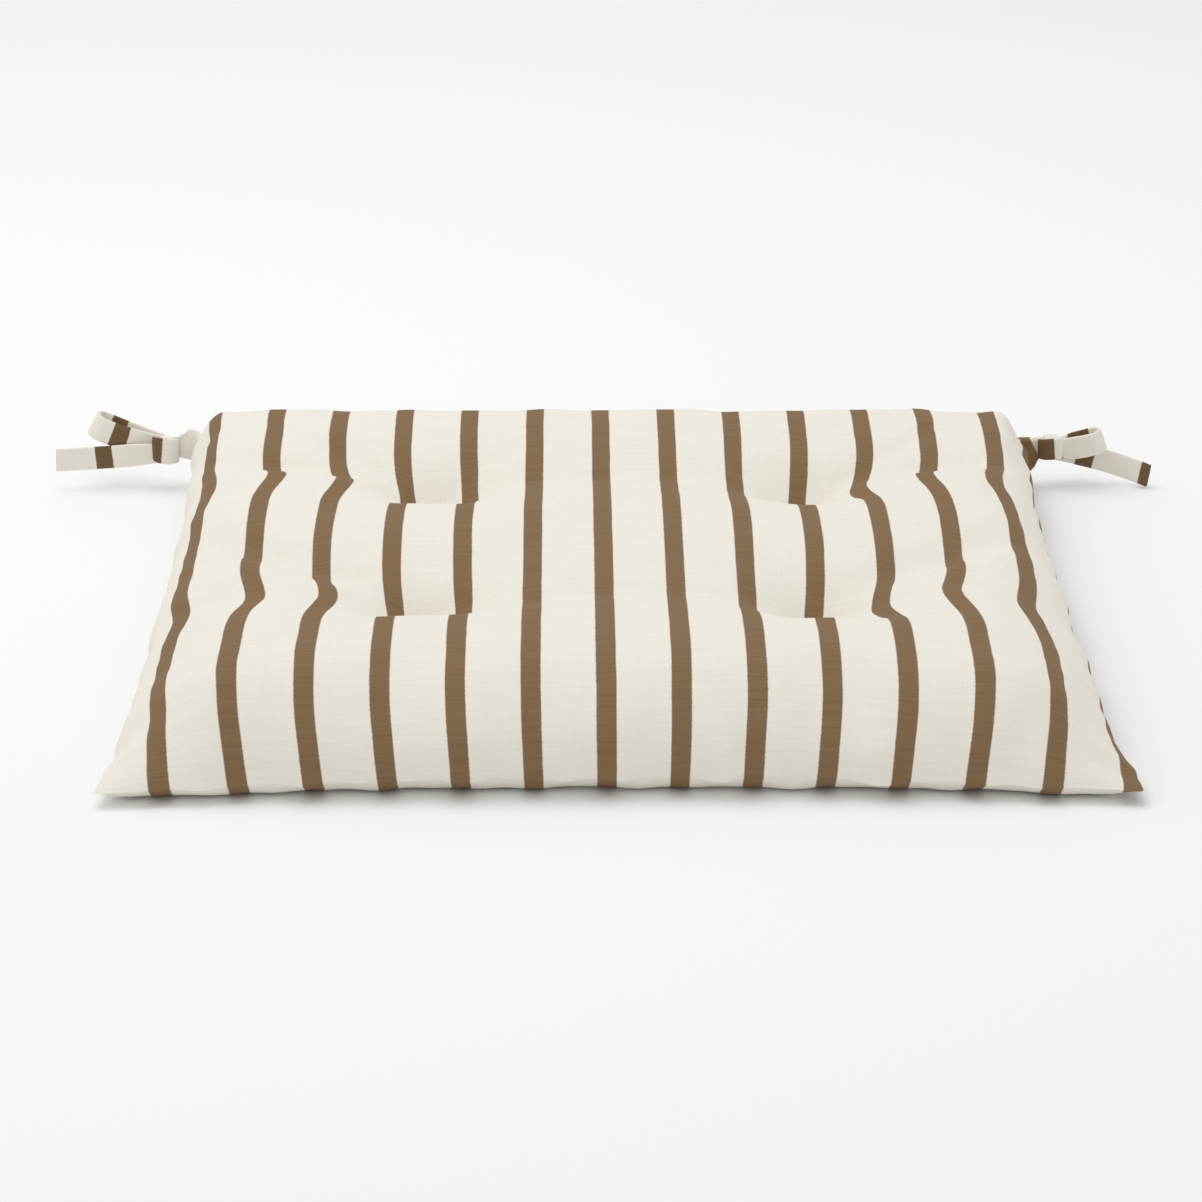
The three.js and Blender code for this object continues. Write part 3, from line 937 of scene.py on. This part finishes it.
def build_seam_threads(cover, material):
    line = seam_line(cover)
    length = lengths_along(line)
    back_middle = length[2 * (GRID - 1) + (GRID - 1) // 2]
    sewn = sewn_stitches(line, back_middle + CLOSING_LENGTH / 2, length[-1] - CLOSING_LENGTH)
    thread_piece("seam_stitching", "perimeter_seam_thread", sewn, material)
    closed = closing_stitches(line, back_middle - CLOSING_LENGTH / 2)
    thread_piece("closing_ladder_stitch", "closing_seam_thread", closed, material)


# ---------------------------------------------------------------- ties

def superellipse(sides, power):
    """A rounded rectangle's outline, from -1 to 1 each way."""
    angle = np.linspace(0, 2 * np.pi, sides, endpoint=False)
    cosine, sine = np.cos(angle), np.sin(angle)
    return np.sign(cosine) * np.abs(cosine) ** power, np.sign(sine) * np.abs(sine) ** power


def strap_parts(path, across, half_widths, half_thickness, first_distance, spread=1.0, fold=None):
    """A folded strap along a path. across is the direction of its width at each point of the path.

    Its bands are centred where the distance is a whole number of pitches: the distance starts at
    first_distance, and a spread below 1 moves the bands apart. fold gives each ring's offsets.
    """
    path, across = np.asarray(path, float), np.asarray(across, float)
    tangent = np.gradient(path, axis=0)
    tangent /= np.linalg.norm(tangent, axis=1, keepdims=True)
    across = across - tangent * np.sum(across * tangent, axis=1, keepdims=True)
    across /= np.linalg.norm(across, axis=1, keepdims=True)
    normal = np.cross(tangent, across)
    wide, thick = superellipse(STRAP_SIDES, 0.45)
    width_offset = np.broadcast_to(half_widths, len(path))[:, None] * wide
    thickness_offset = np.broadcast_to(half_thickness * thick, width_offset.shape)
    if fold is not None:
        thickness_offset = thickness_offset + fold(wide)
    points = path[:, None] + across[:, None] * width_offset[..., None]
    points = points + normal[:, None] * thickness_offset[..., None]
    flat = np.zeros((*width_offset.shape, 3))
    flat[..., 0] = spread * (first_distance + lengths_along(path))[:, None]
    flat[..., 1] = width_offset
    flat[..., 2] = half_thickness * thick
    return points.reshape(-1, 3), tube_faces(len(path), STRAP_SIDES), flat.reshape(-1, 3)


def strap_piece(side, part, parts, material):
    points, faces = joined([shape[:2] for shape in parts])
    flat = np.concatenate([shape[2] for shape in parts])
    piece = make_mesh_object(f"{side}_strap_{part}", points, faces, flat)
    piece.data.materials.append(material)
    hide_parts(f"{side}_tie_{part}")
    return piece


def tie_place(sign, start, turn, rise):
    heading = turn if sign > 0 else math.pi - turn
    rotation = Matrix.Rotation(heading, 4, "Z") @ Matrix.Rotation(-rise, 4, "Y")
    return Matrix.Translation(start) @ rotation


def placed(place, points):
    matrix = np.array(place)
    return np.asarray(points) @ matrix[:3, :3].T + matrix[:3, 3]


def turned(place, directions):
    return np.asarray(directions) @ np.array(place)[:3, :3].T


def tail_parts(tie):
    tail = tie["tail"]
    start = (tie["sign"] * KNOT_END, TIE_DEPTH + tail["aside"], tail["height"])
    place = tie_place(tie["sign"], start, tail["turn"], tail["rise"])
    share = np.linspace(TAIL_START_SHARE, 1, 46)
    along = share * tail["length"]
    aside = tail["bow"] * 4 * share * (1 - share) + TAIL_SIDE_RIPPLE * np.sin(7 * share)
    aside += tail["hook"] * np.clip(share - 0.5, 0, 1) ** 2 * 4
    lift = tail["droop"] * share**2 + TAIL_LIFT_RIPPLE * np.sin(5 * share + 1)
    lean = tail["lean"] * share
    across = turned(place, np.stack([0 * share, np.sin(lean), np.cos(lean)], -1))
    width = STRAP_WIDTH / 2 * (0.84 + 0.16 * np.clip(share * 4, 0, 1))
    path = placed(place, np.stack([along, aside, lift], -1))
    first = along[0] - tail["band"]
    return strap_parts(path, across, width, STRAP_THICKNESS / 2, first, tail["band_spread"])


def loop_line(length, radius, neck):
    """A drop-shaped loop seen from above, from one side of its neck round to the other."""
    centre = length - radius
    share = np.linspace(0, 1, 22)[:-1]
    control = np.array([length / 2, -radius])
    begin, end = np.array([0, -neck]), np.array([centre, -radius])
    near = [(1 - t) ** 2 * begin + 2 * t * (1 - t) * control + t**2 * end for t in share]
    angle = np.linspace(-np.pi / 2, np.pi / 2, 17)
    bend = np.stack([centre + radius * np.cos(angle), radius * np.sin(angle)], -1)
    far = [point * np.array([1, -1]) for point in reversed(near)]
    return np.concatenate([near, bend, far])


def loop_parts(tie):
    loop = tie["loop"]
    start = (tie["sign"] * KNOT_END, TIE_DEPTH + loop["aside"], loop["height"])
    place = tie_place(tie["sign"], start, loop["turn"], loop["rise"])
    line = loop_line(loop["length"], loop["radius"], STRAP_THICKNESS * 0.7)
    share = line[:, 0] / loop["length"]
    lift = loop["curl"] * share**2
    path = placed(place, np.stack([line[:, 0] - LOOP_IN_KNOT, line[:, 1], lift], -1))
    lean = loop["lean"] * share
    back = -2 * loop["curl"] * share / loop["length"]
    across = turned(place, np.stack([back, -np.sin(lean), np.cos(lean)], -1))
    width = STRAP_WIDTH / 2 * (0.8 + 0.2 * np.clip(share * 2.5, 0, 1))
    return strap_parts(path, across, width, STRAP_THICKNESS / 2, -loop["band"], loop["band_spread"])


def wrap_parts(tie):
    """The strap's turn round itself."""
    turn = np.linspace(0, 2 * np.pi * WRAP_TURNS, 54)
    share = turn / turn[-1]
    swell = 1 + WRAP_SWELL * share
    out = tie["sign"] * (KNOT_MIDDLE + WRAP_SLIDE * (share - 0.5)) + WRAP_SWAY * np.cos(turn)
    depth = TIE_DEPTH - WRAP_HALF_DEPTH * swell * np.cos(turn)
    height = tie["knot_height"] + WRAP_HALF_HEIGHT * swell * np.sin(turn)
    ring = np.stack([out, depth, height], -1)
    sideways = np.tile([1.0, 0.0, 0.0], (len(turn), 1))
    return strap_parts(ring, sideways, WRAP_HALF_WIDTH, WRAP_HALF_THICKNESS, WRAP_FIRST_DISTANCE)


def crossing_parts(tie):
    """The part of the strap that crosses over the knot's front."""
    reach_out = tie["knot_reach"]
    share = np.linspace(-1, 1, 22)
    out = tie["sign"] * (KNOT_MIDDLE + reach_out * share)
    depth = TIE_DEPTH - CROSSING_OUT - CROSSING_BULGE * (1 - share**4)
    height = tie["knot_height"] + CROSSING_TILT * share
    over = np.stack([out, depth, height], -1)
    upright = np.tile([0.0, 0.0, 1.0], (len(share), 1))
    width = tie["knot_half_height"] * (1 - 0.10 * share**2)
    return strap_parts(over, upright, width, WRAP_HALF_THICKNESS, -reach_out - tie["knot_band"])


def root_parts(tie):
    """The corner's gathered cloth and the strap that leaves it, narrowing to the knot."""
    root = tie["root"]
    share = np.linspace(0, 1, 26)
    out = ROOT_START + (ROOT_END - ROOT_START) * share
    flare_length = KNOT_START - ROOT_NARROW_FROM_KNOT - root["flare_from"]
    narrow = np.clip((out - root["flare_from"]) / flare_length, 0, 1) ** 0.8
    outside = np.clip((out - ROOT_START) / ROOT_CORNER_LENGTH, 0, 1)
    half = root["half_height"] + (tie["knot_half_height"] * 0.8 - root["half_height"]) * narrow
    half *= ROOT_CORNER_SHARE + (1 - ROOT_CORNER_SHARE) * outside
    height = root["height"] + (tie["knot_height"] - root["height"]) * narrow
    depth = TIE_DEPTH - ROOT_CORNER_INSET * (1 - outside)
    path = np.stack([tie["sign"] * out, depth, height], -1)
    upright = np.tile([0.0, 0.0, 1.0], (len(share), 1))

    def creases(wide):
        fade = (1 - 0.6 * narrow)[:, None]
        return ROOT_FOLD * fade * np.sin(wide[None] * 7 + 4 * share[:, None])

    return strap_parts(path, upright, half, ROOT_HALF_THICKNESS, -root["band"], fold=creases)


# Metres and radians. turn and rise point a part away from the pad's width and upwards, and lean twists the
# strap towards its end. aside is from the tie's middle towards the back. bow and hook bend a part to the
# side, and droop and curl bend its end up. A band is where a brown band is centred.
TIES = (
    {
        "name": "left",
        "sign": -1,
        "knot_height": 0.0204,
        "knot_half_height": 0.0069,
        "knot_band": 0.0072,
        "knot_reach": 0.0062,
        "root": {"half_height": 0.0088, "height": 0.0212, "flare_from": 0.2120, "band": -0.0040},
        "tail": {
            "length": 0.0515, "bow": -0.0008, "aside": -0.0034, "height": 0.0178, "turn": -0.03,
            "rise": -0.07, "droop": 0.0012, "lean": 0.05, "hook": 0.0, "band": 0.0272,
            "band_spread": 1.0,
        },
        "loop": {
            "length": 0.0355, "radius": 0.0052, "aside": 0.0032, "height": 0.0215, "turn": 0.04,
            "rise": 0.14, "curl": 0.0060, "lean": 0.25, "band": 0.0244, "band_spread": 1.0,
        },
    },
    {
        "name": "right",
        "sign": 1,
        "knot_height": 0.0203,
        "knot_half_height": 0.0056,
        "knot_band": -0.0022,
        "knot_reach": 0.0066,
        "root": {"half_height": 0.0118, "height": 0.0148, "flare_from": 0.2095, "band": 0.0130},
        "tail": {
            "length": 0.0468, "bow": 0.0008, "aside": 0.0052, "height": 0.0152, "turn": -0.12,
            "rise": -0.14, "droop": -0.0022, "lean": -0.05, "hook": -0.0080, "band": 0.0140,
            "band_spread": 0.94,
        },
        "loop": {
            "length": 0.0235, "radius": 0.0048, "aside": -0.0034, "height": 0.0200, "turn": -0.03,
            "rise": 0.12, "curl": 0.0025, "lean": 0.10, "band": 0.0410, "band_spread": 0.74,
        },
    },
)


def build_tie(tie, material, corner_material_painted_light):
    side, sign = tie["name"], tie["sign"]
    tail = strap_piece(side, "tail", [tail_parts(tie)], material)
    loop = strap_piece(side, "loop", [loop_parts(tie)], material)
    knot = strap_piece(side, "knot", [wrap_parts(tie), crossing_parts(tie)], material)
    # The root's cloth has its brown lightened: painted light on the lit corner.
    root = strap_piece(side, "root", [root_parts(tie)], corner_material_painted_light)
    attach(tail, f"{side}_tail")
    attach(loop, f"{side}_tie")
    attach(knot, f"{side}_tie")
    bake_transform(root)


# ---------------------------------------------------------------- stage

def add_floor():
    corners = ((-1, -1), (1, -1), (1, 1), (-1, 1))
    points = [(FLOOR_HALF_SIZE * x, FLOOR_HALF_SIZE * y, 0) for x, y in corners]
    floor = make_mesh_object("studio_floor", points, [(0, 1, 2, 3)])
    floor.location.z = -FLOOR_DROP
    floor.data.materials.append(floor_material())


def add_area_light(name, place, size, energy):
    data = bpy.data.lights.new(name, "AREA")
    data.size = size
    data.energy = energy
    light = bpy.data.objects.new(name, data)
    bpy.context.scene.collection.objects.link(light)
    light.location = place
    light.rotation_euler = (-Vector(place)).to_track_quat("-Z", "Y").to_euler()


def light_studio():
    world = bpy.data.worlds.new("studio_world")
    world.use_nodes = True
    background = world.node_tree.nodes["Background"]
    background.inputs["Color"].default_value = (1, 1, 1, 1)
    background.inputs["Strength"].default_value = WORLD_LIGHT
    bpy.context.scene.world = world
    add_area_light("overhead_softbox", SOFTBOX_PLACE, SOFTBOX_SIZE, SOFTBOX_POWER)
    bpy.context.scene.view_settings.view_transform = "Standard"


add_camera()
light_studio()
add_floor()
pad_cover = build_cover()
thread = thread_material()
build_tuft_threads(pad_cover, thread)
build_seam_threads(pad_cover, thread)
strap_cloth = striped_cloth("tie_strap", True, TIE_BROWN_LIGHTNESS)
# Corner cloth: the cover's brown, lightened as painted light on the lit corner.
corner_cloth_painted_light = striped_cloth("corner_strap_painted_light", True, CORNER_BROWN_PAINTED_LIGHT)
for tie in TIES:
    build_tie(tie, strap_cloth, corner_cloth_painted_light)
